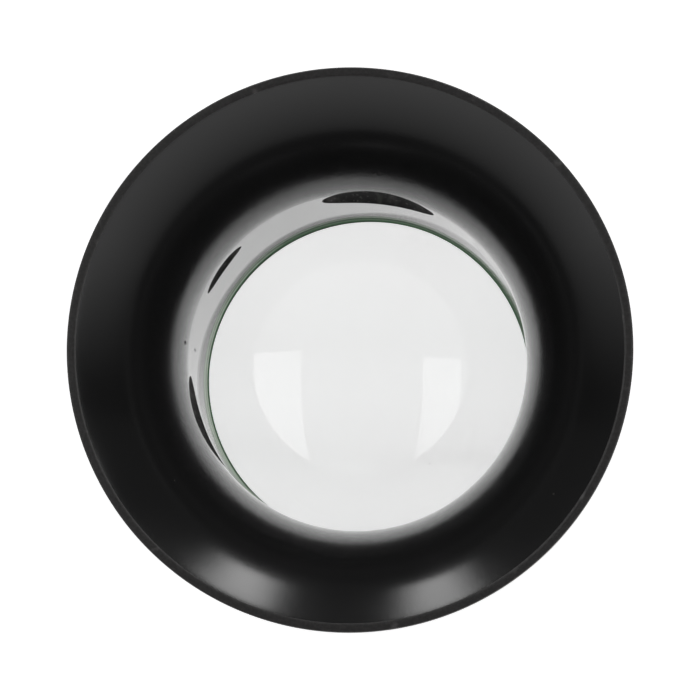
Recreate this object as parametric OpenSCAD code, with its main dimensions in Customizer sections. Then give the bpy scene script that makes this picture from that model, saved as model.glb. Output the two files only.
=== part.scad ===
// Watchmaker's eye loupe: a flared eyecup, one glass lens and a screw cap that holds the lens.
// Origin: middle of the cap's flat face, which the loupe stands on. +Z runs up to the rim.
// All sizes are in millimetres.

/* [Eyecup] */
// Outer diameter of the rim that the eye socket holds
rim_d = 36; // [32:0.5:42]
// Height from the cap's face to the top of the rim
total_h = 31; // [29:0.5:40]
// Width of the flat lip on top of the rim
lip_w = 0.5; // [0.3:0.1:1.2]
// Height of the rim's outer edge
lip_h = 1.2; // [0.8:0.1:2]
// Diameter of the throat, the narrowest place inside
throat_d = 22.2; // [20:0.1:22.8]
// Depth of the throat under the top of the rim
throat_depth = 10.4; // [8.5:0.1:14]
// Wall of the horn and the neck
wall = 1.6; // [1.2:0.1:2.4]

/* [Lens] */
// Diameter of the lens
lens_d = 23.2; // [22.6:0.1:24]
// Thickness of the lens at its edge
lens_edge = 2.4; // [1.8:0.1:3]
// Radius of the lens's convex face
lens_r = 33; // [26:0.5:50]
// Width of the ground bevel round the flat face
lens_bevel = 0.54; // [0.2:0.02:0.6]
// Width of the ground bevel round the convex face
lens_back_bevel = 0.2; // [0.1:0.05:0.4]

/* [Lens seat] */
// Width of the ledge that the lens bevel seats against
seat_w = 0.45; // [0.15:0.05:0.5]
// Room round the lens in its pocket
lens_fit = 0.1; // [0.05:0.05:0.2]
// Gap between the lens bevel and the ledge
seat_gap = 0.1; // [0.05:0.05:0.2]
// Gap between the convex face and the cap's lip
lip_gap = 0.06; // [0.04:0.02:0.2]

/* [Thread] */
// Diameter over the neck's thread
thread_d = 26; // [25.6:0.1:27]
// Lead of the thread, its travel in one turn
thread_lead = 1.6; // [1:0.1:2]
// Number of turns that the cap screws on
thread_turns = 3; // [2:1:3]
// Radial play in the thread
thread_fit = 0.05; // [0.03:0.01:0.1]
// Bevel that leads the thread in
thread_lead_in = 0.4; // [0.2:0.1:0.6]

/* [Cap] */
// Diameter over the cap's grip ribs
cap_d = 29.4; // [29:0.1:32]
// Height of the lens's lowest point above the cap's face
lens_lift = 0.5; // [0.3:0.1:1.5]
// Diameter of the window in the cap's floor
window_d = 22.4; // [21:0.1:22.6]
// Height of the straight part of the window
window_land = 0.6; // [0.3:0.1:1]
// Diameter of the window's bevel at the cap's face
window_flare_d = 24.2; // [23:0.1:25.5]
// Gap between the neck's end and the cap's floor, and between the cap's top and the collar
cap_gap = 0.3; // [0.2:0.05:0.5]
// Number of grip ribs
rib_count = 54; // [36:1:64]
// Depth of the grooves between the ribs
rib_depth = 0.35; // [0.2:0.05:0.5]
// Height of the smooth band under the ribs
rib_start = 1.2; // [0.8:0.1:2]
// Bevel on the cap's edges
cap_bevel = 0.4; // [0.2:0.1:0.6]

/* [Collar] */
// Diameter of the collar that the cap stops at
collar_d = 28.6; // [28:0.1:32]
// Height of the collar
collar_h = 1.3; // [1:0.1:2.5]

/* [Hidden] */
ARC_STEPS = 20;
ROUND_FN = 128;
GROOVE_FN = 24;

// Radii
rim_r = rim_d / 2;
throat_r = throat_d / 2;
lens_rad = lens_d / 2;
pocket_r = lens_rad + lens_fit;
seat_r = pocket_r - seat_w;
thread_r = thread_d / 2;
cap_bore_r = thread_r + thread_fit;
cap_r = cap_d / 2;
collar_r = collar_d / 2;
window_r = window_d / 2;

// Heights, worked out upward from the cap's face
function lens_sag(r) = lens_r - sqrt(lens_r * lens_r - r * r);
lens_low_z = lens_lift;
lens_edge_z = lens_low_z + lens_sag(lens_rad);
lens_top_z = lens_edge_z + lens_edge;
floor_z = lens_low_z + lens_sag(window_r) - lip_gap;
neck_end_z = floor_z + cap_gap;
seat_z = lens_top_z - lens_bevel + (lens_rad - seat_r) + seat_gap;
thread_travel = thread_lead * thread_turns;
cap_h = neck_end_z + thread_travel;
collar_z = cap_h + cap_gap;
collar_top_z = collar_z + collar_h;
throat_z = total_h - throat_depth;

// The horn's section is one arc. It leaves the throat upright and ends at the lip.
horn_run = [rim_r - lip_w - throat_r, throat_depth];
horn_slope = 2 * atan2(horn_run[0], horn_run[1]);
horn_r = norm(horn_run) / (2 * sin(horn_slope / 2));
horn_centre = [throat_r + horn_r, throat_z];
// The outside runs beside it, a wall's thickness away, and stops under the lip's inner edge
outside_r = horn_r - wall;
outside_slope = acos((horn_centre[0] - (rim_r - lip_w)) / outside_r);

// Points of an arc about the horn's centre, between two slopes from upright
function horn_arc(radius, from, to) = [
    for (i = [0 : ARC_STEPS])
        let (slope = from + (to - from) * i / ARC_STEPS)
        horn_centre + radius * [-cos(slope), sin(slope)]
];

// The neck tapers with the bore inside it, so that the wall stays even
function bore_r(z) = seat_r + (throat_r - seat_r) * (z - seat_z) / (throat_z - seat_z);

// One moulding: thread and lens pocket below, drafted bore, horn and lip above
module eyecup() {
    lip_bevel = 0.12;
    collar_bevel = 0.25;
    inside = concat(
        [[pocket_r, neck_end_z], [pocket_r, seat_z], [seat_r, seat_z]],
        horn_arc(horn_r, 0, horn_slope)
    );
    lip = [
        [rim_r - lip_bevel, total_h],
        [rim_r, total_h - lip_bevel],
        [rim_r, total_h - lip_h]
    ];
    outside = horn_arc(outside_r, outside_slope, 0);
    neck = [
        [bore_r(collar_top_z) + wall, collar_top_z],
        [collar_r - collar_bevel, collar_top_z],
        [collar_r, collar_top_z - collar_bevel],
        [collar_r, collar_z],
        [thread_r, collar_z],
        [thread_r, neck_end_z + thread_lead_in],
        [thread_r - thread_lead_in, neck_end_z]
    ];
    color([0.05, 0.05, 0.055])
        rotate_extrude($fn = ROUND_FN)
            polygon(concat(inside, lip, outside, neck));
}

// Flat face towards the eye, convex face down, a ground bevel round each
module lens() {
    below_z = lens_low_z - 1;
    bevel_top_z = lens_edge_z + lens_back_bevel;
    color([0.78, 0.9, 0.82, 0.5])
        intersection() {
            translate([0, 0, lens_low_z + lens_r])
                sphere(r = lens_r, $fn = ROUND_FN);
            rotate_extrude($fn = ROUND_FN)
                polygon([
                    [0, below_z],
                    [lens_rad - (bevel_top_z - below_z), below_z],
                    [lens_rad, bevel_top_z],
                    [lens_rad, lens_top_z - lens_bevel],
                    [lens_rad - lens_bevel, lens_top_z],
                    [0, lens_top_z]
                ]);
        }
}

// Screws onto the neck from below and carries the lens on the lip round its window
module screw_cap() {
    groove_r = 0.45;
    color([0.06, 0.06, 0.065])
        difference() {
            rotate_extrude($fn = ROUND_FN)
                polygon([
                    [window_flare_d / 2, 0],
                    [cap_r - cap_bevel, 0],
                    [cap_r, cap_bevel],
                    [cap_r, cap_h - cap_bevel],
                    [cap_r - cap_bevel, cap_h],
                    [cap_bore_r, cap_h],
                    [cap_bore_r, floor_z],
                    [window_r, floor_z],
                    [window_r, floor_z - window_land]
                ]);
            for (i = [0 : rib_count - 1])
                rotate([0, 0, i * 360 / rib_count])
                    translate([cap_r + groove_r - rib_depth, 0, rib_start])
                        cylinder(r = groove_r, h = cap_h, $fn = GROOVE_FN);
        }
}

eyecup();
lens();
screw_cap();
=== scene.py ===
# A watchmaker's eye loupe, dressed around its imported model: a black moulded eyecup with a satin
# horn and a polished barrel, a plano-convex lens with a ground green edge, and a ribbed screw cap.
# Sizes are in metres. +Z is the optical axis, from the cap's face up to the eyecup's rim.

import math

import bpy
from bpy.props import FloatProperty, FloatVectorProperty, IntProperty, PointerProperty
from mathutils import Matrix, Vector


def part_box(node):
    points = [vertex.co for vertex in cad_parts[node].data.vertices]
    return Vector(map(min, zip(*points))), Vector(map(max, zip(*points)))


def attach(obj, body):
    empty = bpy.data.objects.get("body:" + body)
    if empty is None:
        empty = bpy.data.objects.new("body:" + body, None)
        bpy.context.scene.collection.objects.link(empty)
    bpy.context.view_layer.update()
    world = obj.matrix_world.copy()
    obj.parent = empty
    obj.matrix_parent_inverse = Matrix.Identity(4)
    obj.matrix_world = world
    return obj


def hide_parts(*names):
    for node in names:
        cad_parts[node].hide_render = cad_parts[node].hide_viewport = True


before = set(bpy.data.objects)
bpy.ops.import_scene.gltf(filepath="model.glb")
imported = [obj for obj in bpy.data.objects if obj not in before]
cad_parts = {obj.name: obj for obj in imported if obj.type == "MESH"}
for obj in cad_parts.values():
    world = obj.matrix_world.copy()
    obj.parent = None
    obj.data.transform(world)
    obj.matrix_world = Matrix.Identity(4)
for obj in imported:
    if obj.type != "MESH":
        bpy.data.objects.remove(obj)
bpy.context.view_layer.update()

bl_info = {
    "name": "Eye Loupe",
    "version": (1, 0, 0),
    "blender": (4, 5, 0),
    "location": "View3D > Sidebar > Loupe",
    "description": "Builds a watchmaker's eye loupe and its white studio",
    "category": "Object",
}

MM = 0.001
EYECUP_LOW, EYECUP_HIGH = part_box("eyecup")
LENS_LOW, LENS_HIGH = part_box("lens")
CAP_LOW, CAP_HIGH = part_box("screw_cap")
SMOOTH_ANGLE = math.radians(24)


# Sizes, colours and lights

class LOUPE_PG_eyecup(bpy.types.PropertyGroup):
    """Sizes of the eyecup"""
    rim_radius: FloatProperty(
        name="Rim radius", description="Outer radius of the rim",
        default=EYECUP_HIGH.x, unit='LENGTH')
    rim_height: FloatProperty(
        name="Rim height", description="Height of the top of the rim",
        default=EYECUP_HIGH.z, unit='LENGTH')
    lip_width: FloatProperty(
        name="Lip width", description="Width of the flat lip",
        default=0.5 * MM, unit='LENGTH')
    lip_height: FloatProperty(
        name="Lip height", description="Height of the rim's outer edge",
        default=1.2 * MM, unit='LENGTH')
    throat_radius: FloatProperty(
        name="Throat radius", description="Radius of the narrowest place inside",
        default=11.1 * MM, unit='LENGTH')
    throat_depth: FloatProperty(
        name="Throat depth", description="Depth of the throat under the rim",
        default=10.4 * MM, unit='LENGTH')
    polish_over: FloatProperty(
        name="Polish over", description="How far above the throat the horn's gloss still changes",
        default=8.0 * MM, unit='LENGTH')
    wall: FloatProperty(
        name="Wall", description="Thickness of the horn and the neck",
        default=1.6 * MM, unit='LENGTH')
    pocket_radius: FloatProperty(
        name="Pocket radius", description="Radius of the pocket round the lens",
        default=LENS_HIGH.x + 0.1 * MM, unit='LENGTH')
    seat_width: FloatProperty(
        name="Seat width", description="Width of the ledge over the lens bevel",
        default=0.45 * MM, unit='LENGTH')
    seat_drop: FloatProperty(
        name="Seat drop", description="How far the ledge lies under the lens's flat face",
        default=0.09 * MM, unit='LENGTH')
    collar_radius: FloatProperty(
        name="Collar radius", description="Radius of the collar that the cap stops at",
        default=14.3 * MM, unit='LENGTH')
    collar_height: FloatProperty(
        name="Collar height", description="Height of the collar",
        default=1.3 * MM, unit='LENGTH')
    collar_gap: FloatProperty(
        name="Collar gap", description="Gap between the cap's top and the collar",
        default=0.3 * MM, unit='LENGTH')

    @property
    def throat_height(self):
        return self.rim_height - self.throat_depth

    @property
    def seat_height(self):
        return LENS_HIGH.z - self.seat_drop

    @property
    def collar_low(self):
        return CAP_HIGH.z + self.collar_gap

    @property
    def collar_top(self):
        return self.collar_low + self.collar_height


class LOUPE_PG_thread(bpy.types.PropertyGroup):
    """Sizes of the thread between the neck and the cap"""
    outer_radius: FloatProperty(
        name="Outer radius", description="Radius over the neck's thread",
        default=13.0 * MM, unit='LENGTH')
    depth: FloatProperty(
        name="Depth", description="Depth of the thread",
        default=0.45 * MM, unit='LENGTH')
    crest: FloatProperty(
        name="Crest", description="Width of the thread's flat top",
        default=0.35 * MM, unit='LENGTH')
    lead: FloatProperty(
        name="Lead", description="Travel in one turn",
        default=1.6 * MM, unit='LENGTH')
    play: FloatProperty(
        name="Play", description="Radial play between the two threads",
        default=0.05 * MM, unit='LENGTH')

    @property
    def root_radius(self):
        return self.outer_radius - self.depth


class LOUPE_PG_lens(bpy.types.PropertyGroup):
    """Sizes of the lens"""
    radius: FloatProperty(
        name="Radius", description="Outer radius of the lens",
        default=LENS_HIGH.x, unit='LENGTH')
    curve_radius: FloatProperty(
        name="Curve radius", description="Radius of the convex face",
        default=33.0 * MM, unit='LENGTH')
    bevel: FloatProperty(
        name="Front bevel", description="Width of the ground bevel round the flat face",
        default=0.54 * MM, unit='LENGTH')
    back_bevel: FloatProperty(
        name="Back bevel", description="Width of the ground bevel round the convex face",
        default=0.2 * MM, unit='LENGTH')


class LOUPE_PG_cap(bpy.types.PropertyGroup):
    """Sizes of the screw cap"""
    window_radius: FloatProperty(
        name="Window radius", description="Radius of the window in the floor",
        default=11.2 * MM, unit='LENGTH')
    window_flare: FloatProperty(
        name="Window flare", description="Radius of the window's bevel at the face",
        default=12.1 * MM, unit='LENGTH')
    window_land: FloatProperty(
        name="Window land", description="Height of the straight part of the window",
        default=0.6 * MM, unit='LENGTH')
    floor_gap: FloatProperty(
        name="Floor gap", description="Gap between the floor and the neck's end",
        default=0.3 * MM, unit='LENGTH')
    edge_round: FloatProperty(
        name="Edge round", description="Rounding of the outer edges",
        default=0.4 * MM, unit='LENGTH')
    rib_count: IntProperty(
        name="Ribs", description="Number of grip ribs", default=54)
    rib_depth: FloatProperty(
        name="Rib depth", description="Depth of the grooves between the ribs",
        default=0.35 * MM, unit='LENGTH')
    rib_start: FloatProperty(
        name="Rib start", description="Height of the smooth band under the ribs",
        default=1.2 * MM, unit='LENGTH')


class LOUPE_PG_finish(bpy.types.PropertyGroup):
    """Colours of the loupe"""
    plastic: FloatVectorProperty(
        name="Plastic", description="Black of the mouldings",
        default=(0.0142, 0.0142, 0.0144), size=3, subtype='COLOR')
    worn_plastic: FloatVectorProperty(
        name="Worn plastic", description="Grey of rubbed edges",
        default=(0.09, 0.088, 0.086), size=3, subtype='COLOR')
    # Painted reflection: the lip's dull grey stands in for the reflection that its flat face shows
    lip_painted_reflection: FloatVectorProperty(
        name="Lip plastic", description="Dull grey of the rubbed lip",
        default=(0.0285, 0.027, 0.0268), size=3, subtype='COLOR')
    cut_plastic: FloatVectorProperty(
        name="Cut plastic", description="Black of the knife-trimmed gate scars",
        default=(0.012, 0.011, 0.011), size=3, subtype='COLOR')
    knife_streak: FloatVectorProperty(
        name="Knife streak", description="Grey streaks that the knife left",
        default=(0.06, 0.056, 0.052), size=3, subtype='COLOR')
    torn_plastic: FloatVectorProperty(
        name="Torn plastic", description="Pale flecks where the knife tore the plastic",
        default=(0.2, 0.19, 0.18), size=3, subtype='COLOR')
    dust: FloatVectorProperty(
        name="Dust", description="Dust specks on the plastic",
        default=(0.045, 0.044, 0.042), size=3, subtype='COLOR')
    # The tint of a coat that dims the gloss on one side of the throat, in a ring on the barrel and
    # at the dark marks
    haze: FloatVectorProperty(
        name="Haze", description="Tint of the film that dims the gloss",
        default=(0.34, 0.33, 0.335), size=3, subtype='COLOR')
    glass: FloatVectorProperty(
        name="Glass", description="Tint of the glass",
        default=(0.932, 0.936, 0.934), size=3, subtype='COLOR')
    smeared_glass: FloatVectorProperty(
        name="Smeared glass", description="Tint of the glass under a faint smear",
        default=(0.915, 0.912, 0.912), size=3, subtype='COLOR')
    glass_dust: FloatVectorProperty(
        name="Dust on glass", description="Dust specks on the glass",
        default=(0.5, 0.5, 0.48), size=3, subtype='COLOR')
    glass_mark: FloatVectorProperty(
        name="Mark on glass", description="The one dark mark on the glass",
        default=(0.3, 0.3, 0.29), size=3, subtype='COLOR')
    ground_glass: FloatVectorProperty(
        name="Ground glass", description="Green of the ground bevel",
        default=(0.0035, 0.013, 0.0042), size=3, subtype='COLOR')
    # Pale green of the grinding lines, which painted light makes strongest on the bevel's lit side
    pale_line_and_painted_light: FloatVectorProperty(
        name="Ground line", description="Pale green where the bevel is ground coarser",
        default=(0.3, 0.4, 0.28), size=3, subtype='COLOR')
    # Painted light: a paler green that stands in for the light that the bevel scatters
    painted_light_ground_glass: FloatVectorProperty(
        name="Lit ground glass", description="Paler green where the bevel faces the viewer",
        default=(0.66, 0.82, 0.64), size=3, subtype='COLOR')


class LOUPE_PG_stage(bpy.types.PropertyGroup):
    """The camera and the studio"""
    camera_distance: FloatProperty(
        name="Camera distance", description="From the rim's centre to the camera",
        default=0.29, unit='LENGTH')
    camera_tilt: FloatProperty(
        name="Camera tilt", description="Angle between the optical axis and the line of sight",
        default=math.radians(5.78), unit='ROTATION')
    camera_side: FloatProperty(
        name="Camera side", description="Direction in which the camera leans out, about +Z from +X",
        default=math.radians(-58.8), unit='ROTATION')
    rim_share: FloatProperty(
        name="Rim share", description="Share of the picture's width that the rim takes up",
        default=567.9 / 700)
    picture_shift: FloatVectorProperty(
        name="Picture shift", description="How far the picture is shifted, as shares of its width",
        default=(0.0014, -0.0024), size=2)
    floor_colour: FloatVectorProperty(
        name="Floor", description="Colour of the paper sweep",
        default=(0.9, 0.9, 0.9), size=3, subtype='COLOR')
    paper_seen: FloatProperty(
        name="Paper seen", description="Glow of the paper where the camera sees it",
        default=0.77)
    paper_mirrored: FloatProperty(
        name="Paper mirrored", description="Glow of the paper where gloss mirrors it",
        default=0.8)
    room_light: FloatProperty(
        name="Room light", description="Light of the room on the loupe",
        default=0.055)
    strip_height: FloatProperty(
        name="Strip height", description="Height of the strips over the floor",
        default=0.6, unit='LENGTH')
    strip_radiance: FloatProperty(
        name="Strip radiance", description="Brightness of the strips",
        default=1.8)
    back_distance: FloatProperty(
        name="Back distance", description="From the loupe to the back lights",
        default=1.3, unit='LENGTH')
    card_radius: FloatProperty(
        name="Card radius", description="Radius of the front card",
        default=0.8, unit='LENGTH')
    card_glow: FloatProperty(
        name="Card glow", description="Brightness of the front card",
        default=0.93)


GROUPS = {
    "loupe_eyecup": LOUPE_PG_eyecup,
    "loupe_thread": LOUPE_PG_thread,
    "loupe_lens": LOUPE_PG_lens,
    "loupe_cap": LOUPE_PG_cap,
    "loupe_finish": LOUPE_PG_finish,
    "loupe_stage": LOUPE_PG_stage,
}


# Modelling helpers

def deselect_all():
    """Leaves nothing selected and no object in edit mode"""
    if bpy.context.object and bpy.context.object.mode != 'OBJECT':
        bpy.ops.object.mode_set(mode='OBJECT')
    bpy.ops.object.select_all(action='DESELECT')


def make_active(piece):
    """Selects one object alone"""
    deselect_all()
    piece.select_set(True)
    bpy.context.view_layer.objects.active = piece


def start_drawing(name):
    """Names the primitive just added, fixes its place and selects it all in edit mode"""
    piece = bpy.context.object
    piece.name = name
    bpy.ops.object.transform_apply(location=True, rotation=True, scale=True)
    bpy.ops.object.mode_set(mode='EDIT')
    bpy.ops.mesh.select_mode(type='VERT')
    bpy.ops.mesh.select_all(action='SELECT')
    return piece


def finish_drawing():
    """Turns every face outwards and leaves edit mode"""
    bpy.ops.mesh.select_all(action='SELECT')
    bpy.ops.mesh.normals_make_consistent(inside=False)
    bpy.ops.object.mode_set(mode='OBJECT')


def rounded(corners, steps=5):
    """Outline points from (radius, height, rounding) corners, each rounding a smooth curve"""
    points = []
    for index, (radius, height, rounding) in enumerate(corners):
        corner = Vector((radius, height))
        if rounding == 0:
            points.append(corner)
            continue
        before = Vector(corners[index - 1][:2]) - corner
        after = Vector(corners[(index + 1) % len(corners)][:2]) - corner
        reach = min(rounding, before.length * 0.45, after.length * 0.45)
        start = corner + before.normalized() * reach
        end = corner + after.normalized() * reach
        for step in range(steps + 1):
            t = step / steps
            points.append(start * (1 - t) ** 2 + corner * (2 * t * (1 - t)) + end * t * t)
    return points


def lathe(name, outline, segments, closed=True):
    """Turns an outline about +Z by drawing a ring out from point to point"""
    deselect_all()
    first = outline[0]
    bpy.ops.mesh.primitive_circle_add(vertices=segments, radius=first.x, location=(0, 0, first.y))
    piece = start_drawing(name)
    radius = first.x
    height = first.y
    points = outline[1:] + ([first] if closed else [])
    for point in points:
        bpy.ops.mesh.extrude_region_move(
            TRANSFORM_OT_translate={"value": (0, 0, point.y - height)})
        share = point.x / radius
        bpy.ops.transform.resize(value=(share, share, 1), center_override=(0, 0, point.y))
        radius = point.x
        height = point.y
    bpy.ops.mesh.select_all(action='SELECT')
    bpy.ops.mesh.remove_doubles(threshold=0.0005 * MM)
    finish_drawing()
    return piece


def select_vertices(piece, test):
    """Enters edit mode with only the vertices selected whose radius, height and angle pass"""
    make_active(piece)
    bpy.ops.object.mode_set(mode='EDIT')
    bpy.ops.mesh.select_mode(type='VERT')
    bpy.ops.mesh.select_all(action='DESELECT')
    bpy.ops.object.mode_set(mode='OBJECT')
    for vertex in piece.data.vertices:
        angle = math.atan2(vertex.co.y, vertex.co.x)
        vertex.select = test(vertex.co.xy.length, vertex.co.z, angle)
    bpy.ops.object.mode_set(mode='EDIT')


def close_poles(piece, radius, heights):
    """Closes the small end rings at the given heights with a fan to their middle"""
    for height in heights:
        select_vertices(piece, lambda r, z, angle: (
            r < radius * 1.01 and abs(z - height) < 0.01 * MM))
        bpy.ops.mesh.extrude_region_move(TRANSFORM_OT_translate={"value": (0, 0, 0)})
        bpy.ops.mesh.merge(type='CENTER')
        bpy.ops.object.mode_set(mode='OBJECT')
    bpy.ops.object.mode_set(mode='EDIT')
    finish_drawing()


def paint_faces(piece, material_index, test):
    """Gives a material slot to the faces whose radius and height pass"""
    for face in piece.data.polygons:
        if test(face.center.xy.length, face.center.z):
            face.material_index = material_index


def smooth(piece):
    """Smooth shading, with the corners sharper than the smoothing angle kept crisp"""
    make_active(piece)
    bpy.ops.object.shade_smooth_by_angle(angle=SMOOTH_ANGLE)


def ridge(name, root_radius, crest_radius, start_height, turns, thread):
    """Draws a trapezoid section out along a helix, swelling at its start and dying at its end"""
    sink = 0.04 * MM
    foot = root_radius + (sink if crest_radius < root_radius else -sink)
    depth = abs(crest_radius - foot)
    foot_width = thread.crest + 2 * depth * math.tan(math.radians(30))
    middle = ((foot + crest_radius) / 2, 0, start_height)
    deselect_all()
    bpy.ops.mesh.primitive_plane_add(size=1, location=middle, rotation=(math.pi / 2, 0, 0))
    piece = start_drawing(name)
    bpy.ops.transform.resize(value=(depth, 1, foot_width), center_override=middle)
    select_vertices(piece, lambda radius, height, angle: (
        abs(radius - crest_radius) < abs(radius - foot)))
    bpy.ops.transform.resize(value=(1, 1, thread.crest / foot_width), center_override=middle)
    bpy.ops.mesh.select_all(action='SELECT')
    steps = 48
    last = round(steps * turns)
    fade = steps // 6

    def swelling(step):
        return math.sin(math.pi / 2 * min(1, (min(step, last - step) + 0.3) / fade))

    size = 1
    for step in range(last + 1):
        angle = math.tau * step / steps
        height = start_height + thread.lead * step / steps
        if step > 0:
            bpy.ops.mesh.extrude_region_move(
                TRANSFORM_OT_translate={"value": (0, 0, thread.lead / steps)})
            bpy.ops.transform.rotate(value=-math.tau / steps, orient_axis='Z',
                                     center_override=(0, 0, 0))
        share = swelling(step) / size
        bpy.ops.transform.resize(
            value=(share, share, share),
            center_override=(foot * math.cos(angle), foot * math.sin(angle), height))
        size *= share
    finish_drawing()
    return piece


# Finishes

def add_node(tree, kind, **settings):
    """A node with its settings made"""
    node = tree.nodes.new(kind)
    for key, value in settings.items():
        setattr(node, key, value)
    return node


def feed(tree, value, socket):
    """Sets a socket to a number, or links another node's output to it"""
    if isinstance(value, (int, float)):
        socket.default_value = value
    else:
        tree.links.new(value, socket)


def math_node(tree, operation, first, second=None):
    """A Math node's result from numbers or other nodes' outputs"""
    node = add_node(tree, 'ShaderNodeMath', operation=operation)
    feed(tree, first, node.inputs[0])
    if second is not None:
        feed(tree, second, node.inputs[1])
    return node.outputs[0]


def product(tree, first, *others):
    """Several numbers or outputs multiplied together"""
    for other in others:
        first = math_node(tree, 'MULTIPLY', first, other)
    return first


def object_place(tree):
    """A point's place in Object coordinates"""
    return add_node(tree, 'ShaderNodeTexCoord').outputs["Object"]


def split_place(tree, place):
    """The X, Y and Z outputs of a place"""
    node = add_node(tree, 'ShaderNodeSeparateXYZ')
    tree.links.new(place, node.inputs[0])
    return node.outputs


def hypotenuse(tree, first, second):
    """The root of the sum of two squares"""
    squares = math_node(tree, 'ADD', product(tree, first, first), product(tree, second, second))
    return math_node(tree, 'SQRT', squares)


def axis_distance(tree, place):
    """How far a place lies from the optical axis"""
    split = split_place(tree, place)
    return hypotenuse(tree, split["X"], split["Y"])


def range_node(tree, value, low, high, to_low=0.0, to_high=1.0):
    """A clamped Map Range node, its limits numbers or other nodes' outputs"""
    node = add_node(tree, 'ShaderNodeMapRange')
    labels = ("Value", "From Min", "From Max", "To Min", "To Max")
    for label, given in zip(labels, (value, low, high, to_low, to_high)):
        feed(tree, given, node.inputs[label])
    return node.outputs[0]


def noise_node(tree, place, scale, detail=2.0, roughness=0.5):
    """Noise from 0 to 1 over a place"""
    node = add_node(tree, 'ShaderNodeTexNoise')
    tree.links.new(place, node.inputs["Vector"])
    feed(tree, scale, node.inputs["Scale"])
    node.inputs["Detail"].default_value = detail
    node.inputs["Roughness"].default_value = roughness
    return node.outputs["Fac"]


def vector_node(tree, operation, first, second=None, result=0):
    """A Vector Math node's result from other nodes' outputs"""
    node = add_node(tree, 'ShaderNodeVectorMath', operation=operation)
    tree.links.new(first, node.inputs[0])
    if second is not None:
        tree.links.new(second, node.inputs[1])
    return node.outputs[result]


def combined(tree, *parts):
    """A vector from three outputs"""
    node = add_node(tree, 'ShaderNodeCombineXYZ')
    for part, socket in zip(parts, node.inputs):
        tree.links.new(part, socket)
    return node.outputs[0]


def new_group(name, inputs, outputs):
    """A shader node group with named number sockets, and what its maker links up

    Returns the group, its inputs, its outputs and the Object coordinates inside it.
    """
    group = bpy.data.node_groups.new(name, 'ShaderNodeTree')
    for label, default in inputs:
        socket = group.interface.new_socket(
            name=label, in_out='INPUT', socket_type='NodeSocketFloat')
        socket.default_value = default
    for label in outputs:
        group.interface.new_socket(name=label, in_out='OUTPUT', socket_type='NodeSocketFloat')
    given = add_node(group, 'NodeGroupInput').outputs
    results = add_node(group, 'NodeGroupOutput').inputs
    return group, given, results, object_place(group)


def grain_group():
    """Fine spark-eroded grain and a slow mottle, as numbers from 0 to 1"""
    group, given, results, place = new_group(
        "Moulded Grain", [("Grain Scale", 5500.0), ("Mottle Scale", 160.0)], ["Grain", "Mottle"])
    grain = noise_node(group, place, given["Grain Scale"], 3.0, 0.6)
    mottle = noise_node(group, place, given["Mottle Scale"], 4.0)
    group.links.new(grain, results["Grain"])
    group.links.new(mottle, results["Mottle"])
    return group


def specks_group():
    """Sparse dust specks, 1 in the middle of a speck and 0 between them"""
    group, given, results, place = new_group(
        "Dust Specks", [("Scale", 900.0), ("Speck Size", 0.1), ("Share", 0.3)], ["Specks"])
    cells = add_node(group, 'ShaderNodeTexVoronoi', feature='F1')
    group.links.new(place, cells.inputs["Vector"])
    group.links.new(given["Scale"], cells.inputs["Scale"])
    chance = add_node(group, 'ShaderNodeSeparateColor')
    group.links.new(cells.outputs["Color"], chance.inputs[0])
    near = math_node(group, 'LESS_THAN', cells.outputs["Distance"], given["Speck Size"])
    picked = math_node(group, 'LESS_THAN', chance.outputs[0], given["Share"])
    group.links.new(product(group, near, picked), results["Specks"])
    return group


def band_group():
    """How near a point lies to a circle about +Z, broken up by noise, from 0 to 1"""
    group, given, results, place = new_group(
        "Rubbed Edge",
        [("Radius", 0.018), ("Height", 0.031), ("Reach", 0.0002), ("Break Up", 700.0)],
        ["Rubbed"])
    height = split_place(group, place)["Z"]
    across = math_node(group, 'SUBTRACT', axis_distance(group, place), given["Radius"])
    along = math_node(group, 'SUBTRACT', height, given["Height"])
    share = math_node(group, 'DIVIDE', hypotenuse(group, across, along), given["Reach"])
    near = math_node(group, 'SUBTRACT', 1.0, share)
    near.node.use_clamp = True
    patchy = range_node(group, noise_node(group, place, given["Break Up"], 4.0), 0.5, 0.66)
    group.links.new(product(group, near, patchy), results["Rubbed"])
    return group


def radius_group():
    """Distance from the optical axis, run from 0 to 1 between two radii"""
    group, given, results, place = new_group(
        "Ring Place", [("Inner Radius", 0.0), ("Outer Radius", 1.0)], ["Place"])
    away = axis_distance(group, place)
    share = range_node(group, away, given["Inner Radius"], given["Outer Radius"])
    group.links.new(share, results["Place"])
    return group


def height_group():
    """Height, run from 0 to 1 between two heights"""
    group, given, results, place = new_group(
        "Height Place", [("Low", 0.0), ("High", 1.0)], ["Place"])
    height = split_place(group, place)["Z"]
    group.links.new(range_node(group, height, given["Low"], given["High"]), results["Place"])
    return group


def side_group():
    """How squarely a point faces one side about +Z: the cosine of the angle between them"""
    group, given, results, place = new_group("Side", [("Turn", 0.0)], ["Facing"])
    split = split_place(group, place)
    turn = math_node(group, 'ARCTAN2', split["Y"], split["X"])
    apart = math_node(group, 'SUBTRACT', turn, given["Turn"])
    group.links.new(math_node(group, 'COSINE', apart), results["Facing"])
    return group


def streaks_group():
    """Noise drawn out along +Z, from 0 to 1"""
    group, given, results, place = new_group(
        "Streaks", [("Across", 1000.0), ("Along", 100.0)], ["Streaks"])
    scale = combined(group, given["Across"], given["Across"], given["Along"])
    drawn = vector_node(group, 'MULTIPLY', place, scale)
    group.links.new(noise_node(group, drawn, 1.0, 3.0), results["Streaks"])
    return group


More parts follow.
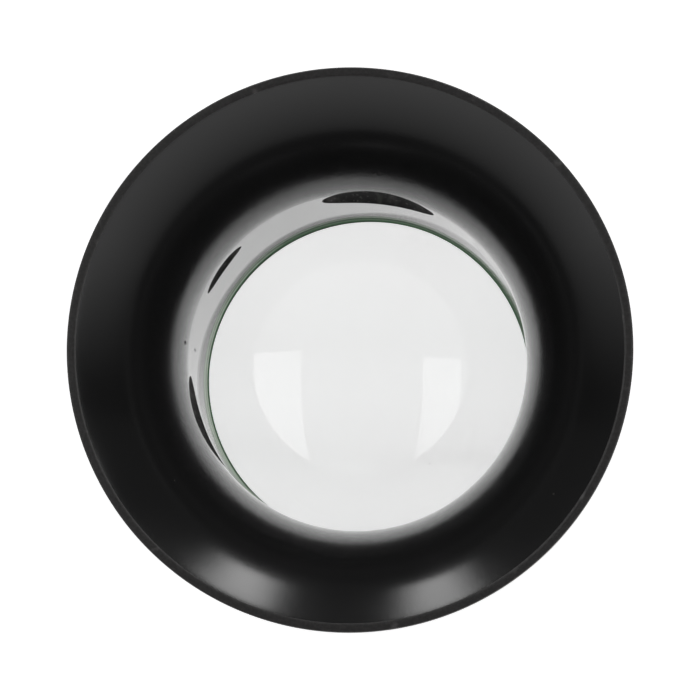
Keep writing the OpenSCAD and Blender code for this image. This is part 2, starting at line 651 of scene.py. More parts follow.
def mark_group():
    """A single small mark at one place, 1 in its middle and 0 outside it"""
    group, given, results, place = new_group(
        "Mark", [("X", 0.0), ("Y", 0.0), ("Z", 0.0), ("Across", 1.0), ("Along", 1.0)], ["Mark"])
    middle = combined(group, given["X"], given["Y"], given["Z"])
    size = combined(group, given["Across"], given["Across"], given["Along"])
    away = vector_node(group, 'SUBTRACT', place, middle)
    share = vector_node(group, 'DIVIDE', away, size)
    length = vector_node(group, 'LENGTH', share, result="Value")
    group.links.new(range_node(group, length, 0.7, 1.0, 1.0, 0.0), results["Mark"])
    return group


# Three tiny dark marks: where each one is, and how far it reaches about the axis and along it
HORN_MARK = {
    "X": -11.18 * MM, "Y": 1.17 * MM, "Z": 22.41 * MM, "Across": 0.16 * MM, "Along": 0.32 * MM}
BARREL_MARK = {
    "X": -11.08 * MM, "Y": 1.22 * MM, "Z": 16.17 * MM, "Across": 0.14 * MM, "Along": 0.9 * MM}
LENS_MARK = {
    "X": 4.19 * MM, "Y": -5.74 * MM, "Z": LENS_HIGH.z, "Across": 0.065 * MM, "Along": 0.065 * MM}

# How pale the bands in the ground bevel are, from its inner edge at 0 to its outer edge at 1:
# partly grinding lines, partly painted light
GROUND_LINES_AND_LIGHT = (
    (0.0, 0.0), (0.24, 0.0), (0.34, 0.8), (0.4, 0.5), (0.46, 0.9), (0.6, 0.4), (1.0, 0.1))

PLASTIC_IOR = 1.58
CROWN_GLASS_IOR = 1.52


class Finish:
    """A material with a Principled shader and short ways to add the shared effects"""

    shared = {}

    def __init__(self, name, colour, roughness, ior=PLASTIC_IOR):
        self.material = bpy.data.materials.new(name)
        self.material.use_nodes = True
        self.tree = self.material.node_tree
        self.shader = self.tree.nodes["Principled BSDF"]
        self.set("Base Color", (*colour, 1))
        self.set("Roughness", roughness)
        self.set("IOR", ior)

    def set(self, label, value):
        self.shader.inputs[label].default_value = value

    def link(self, output, label):
        self.tree.links.new(output, self.shader.inputs[label])

    def effect(self, maker, **values):
        """Places a shared node group, built once, and returns its outputs"""
        if maker not in Finish.shared:
            Finish.shared[maker] = maker()
        node = add_node(self.tree, 'ShaderNodeGroup', node_tree=Finish.shared[maker])
        for label, value in values.items():
            node.inputs[label.replace("_", " ")].default_value = value
        return node.outputs

    def ranged(self, value, low, high, to_low=0.0, to_high=1.0):
        return range_node(self.tree, value, low, high, to_low, to_high)

    def product(self, first, *others):
        return product(self.tree, first, *others)

    def larger(self, first, second):
        return math_node(self.tree, 'MAXIMUM', first, second)

    def mixed_colour(self, mask, first, second):
        """Two colours or colour outputs mixed by a mask"""
        node = add_node(self.tree, 'ShaderNodeMix', data_type='RGBA')
        self.tree.links.new(mask, node.inputs["Factor"])
        for label, value in (("A_Color", first), ("B_Color", second)):
            socket = next(each for each in node.inputs if each.identifier == label)
            if isinstance(value, bpy.types.NodeSocket):
                self.tree.links.new(value, socket)
            else:
                socket.default_value = (*value, 1)
        return next(each for each in node.outputs if each.identifier == "Result_Color")

    def bump(self, height, strength, distance):
        """Bump from a height output, its full rise given as a distance"""
        node = add_node(self.tree, 'ShaderNodeBump')
        node.inputs["Strength"].default_value = strength
        node.inputs["Distance"].default_value = distance
        self.tree.links.new(height, node.inputs["Height"])
        self.link(node.outputs[0], "Normal")

    def haze(self, weight):
        """A coat that dims the gloss by its weight"""
        self.link(weight, "Coat Weight")
        self.set("Coat Roughness", 0.06)
        self.set("Coat IOR", 1.05)
        self.set("Coat Tint", (*bpy.context.scene.loupe_finish.haze, 1))


def throat_polish(finish, rough, low, high):
    """Glossier at the throat, duller a little above it and its gloss dimmed on one side, with one
    dark mark
    """
    place = finish.effect(height_group, Low=low, High=high)[0]
    rise = finish.ranged(place, 0, 0.5, 0.36, 1.25)
    fall = finish.ranged(place, 0.55, 0.9, 1.0, 0.8)
    side = finish.effect(side_group, Turn=math.radians(95))[0]
    dimmed_side = finish.ranged(side, 0.4, 1.0, 0.0, 0.4)
    near = finish.ranged(place, 0.6, 0.9, 1.0, 0.0)
    mark = finish.effect(mark_group, **HORN_MARK)[0]
    finish.haze(finish.larger(finish.product(dimmed_side, near), mark))
    return finish.product(rough, rise, fall)


def satin_plastic(name, roughness, edges, throat=None):
    """Black plastic from a blasted mould, with specks of dust and rubbed edges"""
    colours = bpy.context.scene.loupe_finish
    finish = Finish(name, colours.plastic, roughness)
    grain = finish.effect(grain_group)
    specks = finish.effect(specks_group, Scale=620.0, Speck_Size=0.045, Share=0.08)[0]
    rough = finish.ranged(grain["Mottle"], 0.3, 0.7, roughness - 0.03, roughness + 0.03)
    if throat:
        rough = throat_polish(finish, rough, *throat)
    finish.link(rough, "Roughness")
    colour = finish.mixed_colour(specks, colours.plastic, colours.dust)
    for radius, height, reach in edges:
        rubbed = finish.effect(band_group, Radius=radius, Height=height, Reach=reach)[0]
        colour = finish.mixed_colour(rubbed, colour, colours.worn_plastic)
    finish.link(colour, "Base Color")
    finish.bump(grain["Grain"], 0.3, 0.009 * MM)
    return finish.material


def worn_plastic(name):
    """Black plastic painted a dull grey that stands in for a reflection, with brighter bruises that
    handling left
    """
    colours = bpy.context.scene.loupe_finish
    finish = Finish(name, colours.lip_painted_reflection, 0.4)
    grain = finish.effect(grain_group, Grain_Scale=5200.0, Mottle_Scale=900.0)
    rubbed = finish.ranged(grain["Grain"], 0.42, 0.62)
    darker = [0.75 * part for part in colours.lip_painted_reflection]
    paler = [1.25 * part for part in colours.lip_painted_reflection]
    colour = finish.mixed_colour(rubbed, darker, paler)
    bruised = finish.ranged(grain["Mottle"], 0.62, 0.74)
    finish.link(finish.mixed_colour(bruised, colour, colours.worn_plastic), "Base Color")
    finish.bump(grain["Grain"], 0.5, 0.012 * MM)
    return finish.material


def polished_plastic(name, seat_height):
    """Black plastic off a polished core, duller by the lens seat, with a ring of dimmed gloss above
    it that reaches higher on one side, and a faint dimming over the other side
    """
    colours = bpy.context.scene.loupe_finish
    finish = Finish(name, colours.plastic, 0.08)
    grain = finish.effect(grain_group, Grain_Scale=2600.0, Mottle_Scale=420.0)
    rough = finish.ranged(grain["Mottle"], 0.3, 0.7, 0.05, 0.11)
    height = finish.effect(height_group, Low=seat_height, High=seat_height + 2.0 * MM)[0]
    finish.link(finish.larger(rough, finish.ranged(height, 0, 1, 0.14, 0.0)), "Roughness")
    side = finish.effect(side_group, Turn=math.radians(118))[0]
    reach = finish.ranged(side, 0.3, 0.9, 0.85, 0.34)
    near = finish.effect(height_group, Low=seat_height, High=seat_height + 10 * MM)[0]
    share = math_node(finish.tree, 'DIVIDE', near, reach)
    started = finish.ranged(share, 0.22, 0.42)
    ended = finish.ranged(share, 0.8, 1.3, 1.0, 0.0)
    side_dimming = finish.ranged(side, -0.2, 0.5, 0.0, 0.15)
    mark = finish.effect(mark_group, **BARREL_MARK)[0]
    finish.haze(finish.larger(finish.product(ended, started), finish.larger(side_dimming, mark)))
    finish.set("Specular Tint", (1.0, 0.97, 0.975, 1))
    finish.bump(grain["Grain"], 0.2, 0.006 * MM)
    return finish.material


def cut_plastic(name):
    """Rough black plastic where the moulding's gate was trimmed off with a knife"""
    colours = bpy.context.scene.loupe_finish
    finish = Finish(name, colours.cut_plastic, 0.75)
    finish.set("Specular IOR Level", 0.12)
    grain = finish.effect(grain_group, Grain_Scale=3400.0, Mottle_Scale=1500.0)
    specks = finish.effect(specks_group, Scale=4200.0, Speck_Size=0.36, Share=0.3)[0]
    torn = finish.ranged(grain["Mottle"], 0.45, 0.65)
    streaks = finish.effect(streaks_group, Across=1400.0, Along=160.0)[0]
    dragged = finish.ranged(streaks, 0.52, 0.72)
    colour = finish.mixed_colour(dragged, colours.cut_plastic, colours.knife_streak)
    colour = finish.mixed_colour(finish.product(specks, torn), colour, colours.torn_plastic)
    finish.link(colour, "Base Color")
    finish.bump(grain["Grain"], 0.9, 0.05 * MM)
    return finish.material


def clear_glass(name):
    """Polished crown glass with faint smears, dust and one dark mark"""
    colours = bpy.context.scene.loupe_finish
    finish = Finish(name, colours.glass, 0.0, CROWN_GLASS_IOR)
    finish.set("Transmission Weight", 1.0)
    specks = finish.effect(specks_group, Scale=260.0, Speck_Size=0.035, Share=0.2)[0]
    smears = finish.effect(grain_group, Grain_Scale=330.0, Mottle_Scale=110.0)["Mottle"]
    smeared = finish.ranged(smears, 0.5, 0.75)
    mark = finish.effect(mark_group, **LENS_MARK)[0]
    colour = finish.mixed_colour(smeared, colours.glass, colours.smeared_glass)
    colour = finish.mixed_colour(specks, colour, colours.glass_dust)
    colour = finish.mixed_colour(mark, colour, colours.glass_mark)
    finish.link(colour, "Base Color")
    return finish.material


def ground_glass(name, inner, outer):
    """The lens's ground bevel: dark green with fine pale grinding lines that painted light makes
    strongest on one side, and a paler green of painted light where it faces the viewer
    """
    colours = bpy.context.scene.loupe_finish
    finish = Finish(name, colours.ground_glass, 0.45, CROWN_GLASS_IOR)
    finish.set("Transmission Weight", 1.0)
    rings = finish.effect(radius_group, Inner_Radius=inner, Outer_Radius=outer)[0]
    ramp = add_node(finish.tree, 'ShaderNodeValToRGB')
    finish.tree.links.new(rings, ramp.inputs[0])
    stops = ramp.color_ramp.elements
    for place, level in GROUND_LINES_AND_LIGHT[1:-1]:
        stops.new(place)
    for stop, (place, level) in zip(stops, GROUND_LINES_AND_LIGHT):
        stop.color = (level, level, level, 1)
    # Painted light: the pale lines are painted strongest on one side of the ring, where the strips
    # light the bevel
    side = finish.effect(side_group, Turn=math.radians(190))[0]
    lines_painted_light_side = finish.ranged(side, 0.35, 0.95, 0.06, 1.0)
    grain = finish.effect(grain_group, Grain_Scale=2400.0, Mottle_Scale=260.0)
    patchy = finish.ranged(grain["Mottle"], 0.35, 0.65, 0.7, 1.0)
    lines = finish.product(ramp.outputs[0], patchy, lines_painted_light_side)
    # Painted light: the bevel is painted paler where it faces the viewer, most on its left side and
    # over its inner part
    angle = add_node(finish.tree, 'ShaderNodeLayerWeight')
    painted_light_facing = finish.ranged(angle.outputs["Facing"], 0.25, 0.31, 1.0, 0.0)
    left = finish.ranged(side, -0.8, 0.7, 0.5, 1.0)
    inside = finish.ranged(rings, 0.12, 0.34, 1.0, 0.0)
    wide = finish.ranged(side, 0.75, 1.0, 0.0, 0.8)
    painted_light_reach = math_node(finish.tree, 'MINIMUM', math_node(finish.tree, 'ADD', inside, wide), 1.0)
    colour = finish.mixed_colour(lines, colours.ground_glass, colours.pale_line_and_painted_light)
    lit = finish.product(painted_light_facing, left, painted_light_reach)
    finish.link(finish.mixed_colour(lit, colour, colours.painted_light_ground_glass), "Base Color")
    finish.bump(grain["Grain"], 0.2, 0.01 * MM)
    return finish.material


# The loupe's pieces

def horn_arc(cup, inset, steps):
    """Points of the horn's arc from the throat up to the lip, or of the outside beside it"""
    run = Vector((cup.rim_radius - cup.lip_width - cup.throat_radius, cup.throat_depth))
    radius = run.length / (2 * math.sin(math.atan2(run.x, run.y)))
    centre = Vector((cup.throat_radius + radius, cup.throat_height))
    reach = radius - inset
    slope = math.acos((centre.x - (cup.rim_radius - cup.lip_width)) / reach)
    points = []
    for step in range(steps + 1):
        angle = slope * step / steps
        points.append(centre + Vector((-math.cos(angle), math.sin(angle))) * reach)
    return points


# The gate scars and, last, a small nick: degrees about +Z, then in mm the drop under the throat,
# the width, the half height and the depth
SCARS = (
    (83.1, 2.25, 7.6, 3.75, 0.45),
    (144.6, 2.25, 4.05, 1.65, 0.2),
    (200.9, 1.4, 6.6, 3.5, 0.27),
    (321, 0.0, 0.8, 0.5, 0.05),
)


class LOUPE_OT_scars(bpy.types.Operator):
    """Trims the moulding's three gate scars and one nick where the horn meets the barrel"""
    bl_idname = "loupe.scars"
    bl_label = "Gate scars"

    def execute(self, context):
        cup = context.scene.loupe_eyecup
        piece = bpy.data.objects["eyecup_moulding"]
        material = cut_plastic("cut_plastic")
        tools = [
            self.scoop(cup, math.radians(degrees), *(size * MM for size in sizes))
            for degrees, *sizes in SCARS
        ]
        deselect_all()
        for tool in tools:
            tool.select_set(True)
        bpy.context.view_layer.objects.active = tools[0]
        bpy.ops.object.join()
        tool = bpy.context.object
        tool.data.materials.append(material)
        make_active(piece)
        cut = piece.modifiers.new("Scars", 'BOOLEAN')
        cut.object = tool
        cut.operation = 'DIFFERENCE'
        cut.solver = 'EXACT'
        cut.material_mode = 'TRANSFER'
        bpy.ops.object.modifier_apply(modifier=cut.name)
        bpy.data.objects.remove(tool, do_unlink=True)
        self.crisp_borders(piece, material)
        return {'FINISHED'}

    def scoop(self, cup, direction, drop, width, down, depth):
        """An ellipsoid that cuts one scar, through its deepest place, its sides and its foot"""
        wall = cup.throat_radius
        reach = 4 * MM
        out = wall + depth - reach
        side = math.sqrt(wall ** 2 - (width / 2) ** 2)
        across = width / 2 / math.sqrt(1 - ((side - out) / reach) ** 2)
        tall = down / math.sqrt(1 - ((wall - out) / reach) ** 2)
        deselect_all()
        bpy.ops.mesh.primitive_uv_sphere_add(segments=96, ring_count=64, radius=1)
        tool = bpy.context.object
        tool.scale = (reach, across, tall)
        tool.rotation_euler.z = direction
        tool.location = (out * math.cos(direction), out * math.sin(direction),
                         cup.throat_height - drop)
        bpy.ops.object.transform_apply(location=True, rotation=True, scale=True)
        return tool

    def crisp_borders(self, piece, material):
        """Marks the scars' outlines sharp"""
        make_active(piece)
        piece.active_material_index = piece.data.materials.find(material.name)
        bpy.ops.object.mode_set(mode='EDIT')
        bpy.ops.mesh.select_mode(type='FACE')
        bpy.ops.mesh.select_all(action='DESELECT')
        bpy.ops.object.material_slot_select()
        bpy.ops.mesh.region_to_loop()
        bpy.ops.mesh.mark_sharp()
        bpy.ops.object.mode_set(mode='OBJECT')


class LOUPE_OT_eyecup(bpy.types.Operator):
    """Turns the eyecup: lens pocket, drafted barrel, horn, lip, neck, collar and thread root"""
    bl_idname = "loupe.eyecup"
    bl_label = "Eyecup"

    segments = 320

    def outline(self, cup, thread):
        low = EYECUP_LOW.z
        root = thread.root_radius
        seat_height = cup.seat_height
        seat_radius = cup.pocket_radius - cup.seat_width
        rise = cup.throat_height - seat_height

        def bore(height):
            share = (height - seat_height) / rise
            return seat_radius + (cup.throat_radius - seat_radius) * share

        barrel_steps = 14
        barrel = []
        for step in range(1, barrel_steps):
            height = seat_height + rise * step / barrel_steps
            barrel.append(Vector((bore(height), height)))
        horn = horn_arc(cup, 0, 44)
        outer = horn_arc(cup, cup.wall, 30)
        outer.reverse()
        pocket = rounded([
            (root - 0.35 * MM, low, 0), (cup.pocket_radius, low, 0.12 * MM),
            (cup.pocket_radius, seat_height, 0.03 * MM), (seat_radius, seat_height, 0.02 * MM),
            (bore(seat_height + 1 * MM), seat_height + 1 * MM, 0)])[1:-1]
        lip = rounded([
            (horn[-2].x, horn[-2].y, 0),
            (cup.rim_radius - cup.lip_width, cup.rim_height, 0.1 * MM),
            (cup.rim_radius, cup.rim_height, 0.14 * MM),
            (cup.rim_radius, cup.rim_height - cup.lip_height, 0.25 * MM),
            (outer[0].x, outer[0].y, 0.1 * MM),
            (outer[1].x, outer[1].y, 0)], 7)[1:-1]
        neck_radius = bore(cup.collar_top) + cup.wall
        foot = rounded([
            (outer[-1].x, outer[-1].y, 0),
            (neck_radius, cup.collar_top, 0.5 * MM),
            (cup.collar_radius, cup.collar_top, 0.3 * MM),
            (cup.collar_radius, cup.collar_low, 0.2 * MM),
            (root, cup.collar_low, 0.15 * MM),
            (root, low, 0.35 * MM),
            (cup.pocket_radius, low, 0)])[1:-1]
        return pocket + barrel + horn[:-1] + lip + outer[1:] + foot

    def execute(self, context):
        cup = context.scene.loupe_eyecup
        thread = context.scene.loupe_thread
        piece = lathe("eyecup_moulding", self.outline(cup, thread), self.segments)
        rubbed_edges = [
            (cup.rim_radius, cup.rim_height, 0.28 * MM),
            (cup.rim_radius, cup.rim_height - cup.lip_height, 0.3 * MM),
            (cup.collar_radius, cup.collar_top, 0.3 * MM),
        ]
        throat = (cup.throat_height, cup.throat_height + cup.polish_over)
        piece.data.materials.append(satin_plastic("satin_eyecup", 0.18, rubbed_edges, throat))
        piece.data.materials.append(polished_plastic("polished_barrel", cup.seat_height))
        piece.data.materials.append(worn_plastic("lip_painted_reflection_and_wear"))
        paint_faces(piece, 1, lambda radius, height: (
            radius < cup.pocket_radius and height < cup.throat_height))
        paint_faces(piece, 2, lambda radius, height: (
            radius > cup.rim_radius - cup.lip_width - 0.08 * MM
            and height > cup.rim_height - 0.3 * MM))
        smooth(piece)
        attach(piece, "eyecup")
        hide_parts("eyecup")
        return {'FINISHED'}


class LOUPE_OT_lens(bpy.types.Operator):
    """Turns the plano-convex lens with its ground bevels"""
    bl_idname = "loupe.lens"
    bl_label = "Lens"

    segments = 256

    def execute(self, context):
        lens = context.scene.loupe_lens
        edge_height = LENS_LOW.z + self.sag(lens, lens.radius)
        pole = 0.15 * MM
        rings = 48
        convex = []
        for ring in range(rings + 1):
            radius = pole + (lens.radius - lens.back_bevel - pole) * ring / rings
            convex.append(Vector((radius, LENS_LOW.z + self.sag(lens, radius))))
        top = LENS_HIGH.z
        side = [
            Vector((lens.radius, edge_height + lens.back_bevel)),
            Vector((lens.radius, top - lens.bevel)),
            Vector((lens.radius - lens.bevel, top)),
        ]
        flat = [Vector((radius, top)) for radius in (9 * MM, 6 * MM, 3 * MM, pole)]
        piece = lathe("lens_glass", convex + side + flat, self.segments, closed=False)
        close_poles(piece, pole, [convex[0].y, top])
        piece.data.materials.append(clear_glass("clear_glass"))
        piece.data.materials.append(
            ground_glass("ground_bevel", lens.radius - lens.bevel, lens.radius - 0.1 * MM))
        paint_faces(piece, 1, lambda radius, height: (
            radius > lens.radius - lens.bevel and height > edge_height))
        smooth(piece)
        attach(piece, "lens")
        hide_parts("lens")
        return {'FINISHED'}

    @staticmethod
    def sag(lens, radius):
        return lens.curve_radius - math.sqrt(lens.curve_radius ** 2 - radius ** 2)


class LOUPE_OT_screw_cap(bpy.types.Operator):
    """Turns the screw cap and presses its grip grooves in"""
    bl_idname = "loupe.screw_cap"
    bl_label = "Screw cap"

    lines_per_rib = 10

    def execute(self, context):
        cap = context.scene.loupe_cap
        thread = context.scene.loupe_thread
        floor = EYECUP_LOW.z - cap.floor_gap
        bore = thread.outer_radius + thread.play
        outer = CAP_HIGH.x
        top = CAP_HIGH.z
        outline = rounded([
            (cap.window_flare, 0, 0.1 * MM),
            (outer, 0, cap.edge_round),
            (outer, cap.rib_start - 0.15 * MM, 0),
            (outer, cap.rib_start + 0.15 * MM, 0),
            (outer, top * 0.5, 0),
            (outer, top, cap.edge_round),
            (bore, top, 0.25 * MM),
            (bore, floor, 0.15 * MM),
            (cap.window_radius, floor, 0.06 * MM),
            (cap.window_radius, floor - cap.window_land, 0.05 * MM)])
        piece = lathe("screw_cap_moulding", outline, cap.rib_count * self.lines_per_rib)
        self.press_grooves(piece, cap, outer)
        piece.data.materials.append(satin_plastic("satin_cap", 0.4, [
            (outer, 0.1 * MM, 0.35 * MM), (outer, top, 0.35 * MM)]))
        smooth(piece)
        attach(piece, "screw_cap")
        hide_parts("screw_cap")
        return {'FINISHED'}

    def press_grooves(self, piece, cap, outer):
        """Draws the lines in each groove in towards the axis, all grooves at once"""
        pitch = math.tau / cap.rib_count
        line_pitch = pitch / self.lines_per_rib
        depths = {0: 1.0, 1: 0.86, 2: 0.42}
        for line, depth in depths.items():
            def in_groove(radius, height, angle):
                nearest = round((angle % pitch) / line_pitch) % self.lines_per_rib
                in_line = nearest in (line, -line % self.lines_per_rib)
                return in_line and radius > outer - cap.rib_depth and height > cap.rib_start
            select_vertices(piece, in_groove)
            share = 1 - cap.rib_depth * depth / outer
            bpy.ops.transform.resize(value=(share, share, 1), center_override=(0, 0, 0))
            bpy.ops.object.mode_set(mode='OBJECT')


class LOUPE_OT_threads(bpy.types.Operator):
    """Winds the thread ridge on the neck and the one inside the cap"""
    bl_idname = "loupe.threads"
    bl_label = "Threads"

    def execute(self, context):
        thread = context.scene.loupe_thread
        root = thread.root_radius
        neck_start = EYECUP_LOW.z + 1.0 * MM
        neck = ridge("neck_thread", root, thread.outer_radius, neck_start, 2.2, thread)
        neck.data.materials.append(bpy.data.materials["satin_eyecup"])
        smooth(neck)
        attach(neck, "eyecup")
        cap = ridge("cap_thread", thread.outer_radius + thread.play, root + thread.play,
                    neck_start - thread.lead / 2, 2.4, thread)
        cap.data.materials.append(bpy.data.materials["satin_cap"])
        smooth(cap)
        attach(cap, "screw_cap")
        return {'FINISHED'}


# The studio

# The strips over the loupe: name, then low and high corner as shares of the strips' height
STRIPS = (
    ("right_near_strip", (0.405, -0.135), (0.64, 0.84)),
    ("right_far_strip", (0.64, -0.135), (0.88, 0.62)),
    ("left_near_strip", (-0.56, -0.083), (-0.39, 0.84)),
    ("left_far_strip", (-0.73, -0.083), (-0.56, 0.70)),
)

# The lights behind the loupe: name, degrees about +Z, degrees over the floor, height, radiance
BACK_LIGHTS = (
    ("right_back_light", 70.6, 22.9, 0.58, 6.2),
    ("left_back_light", 111.0, 22.4, 0.58, 4.8),
)

# The panels of a back light: name, degrees from its middle, width, share of its radiance
BACK_PANELS = (
    ("middle", 0.0, 0.192, 1.0),
    ("near_side", -6.15, 0.07, 0.5),
    ("far_side", 6.15, 0.07, 0.5),
)

# The height near the rim that the back lights face and that the front card starts at
LIT_HEIGHT = 30.0 * MM

# Painted shade of the paper that the lens shows, along y: from here, to there, and the levels at
# both
LENS_VIEW_PAINTED_SHADE = (
    (3.0 * MM, 8.0 * MM, 0.768, 0.825),
    (-3.5 * MM, -1.0 * MM, 0.972, 1.0),
    (-8.0 * MM, -5.5 * MM, 1.045, 1.0),
)


def bare_material(name):
    """A material with no nodes in it yet"""
    material = bpy.data.materials.new(name)
    material.use_nodes = True
    material.node_tree.nodes.clear()
    return material


def glow_node(tree, strength):
    """White light as strong as another node's output says"""
    glow = add_node(tree, 'ShaderNodeEmission')
    tree.links.new(strength, glow.inputs["Strength"])
    return glow.outputs[0]


def put_out(tree, shader, kind='ShaderNodeOutputMaterial'):
    """Makes a shader the material's or the world's own"""
    tree.links.new(shader, add_node(tree, kind).inputs[0])


def paper_with_painted_shade_through_lens(tree, path):
    """How bright the lens shows the paper: painted shade along y, the painted shade of a soft
    wandering fold across it, and a painted brightening where a reflection shows it
    """
    place = object_place(tree)
    split = split_place(tree, place)
    levels = [range_node(tree, split["Y"], *limits) for limits in LENS_VIEW_PAINTED_SHADE]
    # Painted shade: a soft wandering fold, drawn only as a darker line
    wander = range_node(tree, noise_node(tree, place, 140.0), 0.3, 0.7, -0.9 * MM, 0.9 * MM)
    beside = math_node(tree, 'ADD', math_node(tree, 'ADD', split["Y"], wander), 4.7 * MM)
    fold = range_node(tree, math_node(tree, 'ABSOLUTE', beside), 0.2 * MM, 1.1 * MM, 1.0, 0.0)
    depth = range_node(tree, split["X"], -3.0 * MM, 7.0 * MM, 0.02, 0.055)
    unfolded = math_node(tree, 'SUBTRACT', 1.0, product(tree, fold, depth))
    # Painted reflection: the paper glows a quarter brighter where a gloss reflection shows it
    # through the lens
    painted_reflection_boost = range_node(tree, path["Glossy Depth"], 0, 1, 1.0, 1.25)
    return product(tree, *levels, unfolded, path["Is Transmission Ray"], painted_reflection_boost)


class LOUPE_OT_studio(bpy.types.Operator):
    """Sets the camera, the white floor, the strips, the back lights and the front card"""
    bl_idname = "loupe.studio"
    bl_label = "Studio"

    def camera(self, stage, cup):
        target = Vector((0, 0, cup.rim_height))
        lean = math.sin(stage.camera_tilt)
        away = Vector((lean * math.cos(stage.camera_side), lean * math.sin(stage.camera_side),
                       math.cos(stage.camera_tilt)))
        data = bpy.data.cameras.new("photo_camera")
        data.sensor_width = 36.0
        field = 2 * cup.rim_radius / stage.rim_share
        data.lens = data.sensor_width * stage.camera_distance / field
        data.clip_start = 0.01
        data.shift_x, data.shift_y = stage.picture_shift
        camera = bpy.data.objects.new("photo_camera", data)
        bpy.context.scene.collection.objects.link(camera)
        back = away.normalized()
        right = Vector((0, 1, 0)).cross(back).normalized()
        up = back.cross(right)
        turn = Matrix((right, up, back)).transposed().to_4x4()
        camera.matrix_world = Matrix.Translation(target + away * stage.camera_distance) @ turn
        bpy.context.scene.camera = camera

    def floor(self, stage):
        """White paper, which only camera, lens and gloss see glow, so that it keeps its shadow"""
        deselect_all()
        bpy.ops.mesh.primitive_plane_add(size=3.0, location=(0, 0, 0))
        floor = bpy.context.object
        floor.name = "paper_floor"
        material = bare_material("paper_floor")
        tree = material.node_tree
        path = add_node(tree, 'ShaderNodeLightPath').outputs
        seen = product(tree, path["Is Camera Ray"], stage.paper_seen)
        # Through the lens the paper's glow carries painted shade, the painted shade of a fold and a
        # painted brightening in reflections
        through = paper_with_painted_shade_through_lens(tree, path)
        off_gloss = math_node(tree, 'SUBTRACT', path["Is Glossy Ray"], path["Is Transmission Ray"])
        mirrored = product(tree, off_gloss, stage.paper_mirrored)
        strength = math_node(tree, 'MAXIMUM', math_node(tree, 'MAXIMUM', seen, through), mirrored)
        paper = add_node(tree, 'ShaderNodeBsdfDiffuse')
        paper.inputs["Color"].default_value = (*stage.floor_colour, 1)
        both = add_node(tree, 'ShaderNodeAddShader')
        tree.links.new(paper.outputs[0], both.inputs[0])
        tree.links.new(glow_node(tree, strength), both.inputs[1])
        put_out(tree, both.outputs[0])
        floor.data.materials.append(material)

    def world(self, stage):
        """A dim room that the camera and the lens see as white"""
        world = bpy.data.worlds.new("studio")
        bpy.context.scene.world = world
        world.use_nodes = True
        tree = world.node_tree
        tree.nodes.clear()
        path = add_node(tree, 'ShaderNodeLightPath').outputs
        seen = math_node(tree, 'MAXIMUM', path["Is Camera Ray"], path["Is Transmission Ray"])
        room = add_node(tree, 'ShaderNodeBackground')
        tree.links.new(range_node(tree, seen, 0, 1, stage.room_light, 1.0), room.inputs["Strength"])
        put_out(tree, room.outputs[0], 'ShaderNodeOutputWorld')

    def strip(self, name, low, high, height, radiance):
        """A rectangular light that hangs level over the loupe, given by its corners"""
        data = bpy.data.lights.new(name, 'AREA')
        data.shape = 'RECTANGLE'
        data.size = high[0] - low[0]
        data.size_y = high[1] - low[1]
        data.energy = radiance * math.pi * data.size * data.size_y
        lamp = bpy.data.objects.new(name, data)
        lamp.location = ((low[0] + high[0]) / 2, (low[1] + high[1]) / 2, height)
        bpy.context.scene.collection.objects.link(lamp)
        return lamp

    def panel(self, name, turn, rise, distance, width, tall, radiance):
        """A rectangular light that faces the loupe from a direction given in degrees"""
        lamp = self.strip(name, (-width / 2, -tall / 2), (width / 2, tall / 2), 0, radiance)
        turn = math.radians(turn)
        rise = math.radians(rise)
        outward = Vector((math.cos(rise) * math.cos(turn), math.cos(rise) * math.sin(turn),
                          math.sin(rise)))
        lamp.location = Vector((0, 0, LIT_HEIGHT)) + outward * distance
        lamp.rotation_euler = outward.to_track_quat('Z', 'Y').to_euler()

    def front_card(self, stage):
        """Half a cylinder of card in front of the loupe, which glows more towards its top"""
        radius = stage.card_radius
        low = LIT_HEIGHT
        tall = 0.9
        deselect_all()
        bpy.ops.mesh.primitive_cylinder_add(
            vertices=96, radius=radius, depth=tall, end_fill_type='NOTHING',
            location=(0, 0, low + tall / 2))
        card = start_drawing("front_card")
        bpy.ops.mesh.bisect(plane_co=(0, 0.3, 0), plane_no=(0, 1, 0), clear_outer=True)
        bpy.ops.object.mode_set(mode='OBJECT')
        card.visible_camera = False
        card.visible_transmission = False
        card.visible_shadow = False
        material = bare_material("front_card")
        tree = material.node_tree
        split = split_place(tree, object_place(tree))
        rise = math_node(tree, 'POWER', range_node(tree, split["Z"], low, low + 1.0), 0.62)
        ends = range_node(tree, split["Y"], 0.22 * radius, -0.32 * radius)
        put_out(tree, glow_node(tree, product(tree, rise, ends, stage.card_glow)))
        card.data.materials.append(material)

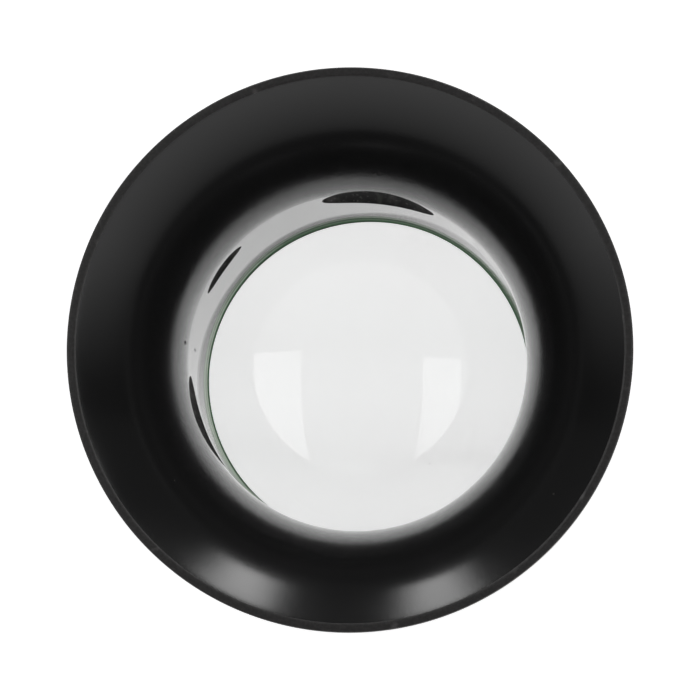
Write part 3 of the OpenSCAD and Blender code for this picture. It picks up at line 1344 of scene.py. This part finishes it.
    def execute(self, context):
        stage = context.scene.loupe_stage
        self.camera(stage, context.scene.loupe_eyecup)
        self.floor(stage)
        self.world(stage)
        height = stage.strip_height
        for name, low, high in STRIPS:
            self.strip(name, Vector(low) * height, Vector(high) * height, height,
                       stage.strip_radiance)
        for name, turn, rise, tall, radiance in BACK_LIGHTS:
            for part, offset, width, share in BACK_PANELS:
                self.panel(f"{name}_{part}", turn + offset, rise, stage.back_distance, width, tall,
                           radiance * share)
        self.front_card(stage)
        return {'FINISHED'}


class LOUPE_PT_sidebar(bpy.types.Panel):
    """Lists the loupe's sizes and the steps that build it"""
    bl_idname = "LOUPE_PT_sidebar"
    bl_label = "Eye Loupe"
    bl_space_type = 'VIEW_3D'
    bl_region_type = 'UI'
    bl_category = "Loupe"

    def draw(self, context):
        for step in STEPS:
            self.layout.operator(step.bl_idname, text=step.bl_label)
        for name in GROUPS:
            group = getattr(context.scene, name)
            box = self.layout.box()
            box.label(text=name.replace("_", " ").capitalize())
            for key in group.__annotations__:
                box.prop(group, key)


STEPS = [
    LOUPE_OT_studio,
    LOUPE_OT_eyecup,
    LOUPE_OT_scars,
    LOUPE_OT_lens,
    LOUPE_OT_screw_cap,
    LOUPE_OT_threads,
]


def register():
    for group_name, group_class in GROUPS.items():
        bpy.utils.register_class(group_class)
        setattr(bpy.types.Scene, group_name, PointerProperty(type=group_class))
    for step in STEPS:
        bpy.utils.register_class(step)
    bpy.utils.register_class(LOUPE_PT_sidebar)


def unregister():
    bpy.utils.unregister_class(LOUPE_PT_sidebar)
    for step in reversed(STEPS):
        bpy.utils.unregister_class(step)
    for group_name, group_class in GROUPS.items():
        delattr(bpy.types.Scene, group_name)
        bpy.utils.unregister_class(group_class)


def main():
    register()
    bpy.context.scene.view_settings.view_transform = 'Standard'
    bpy.ops.loupe.studio()
    bpy.ops.loupe.eyecup()
    bpy.ops.loupe.scars()
    bpy.ops.loupe.lens()
    bpy.ops.loupe.screw_cap()
    bpy.ops.loupe.threads()


if __name__ == "__main__":
    main()
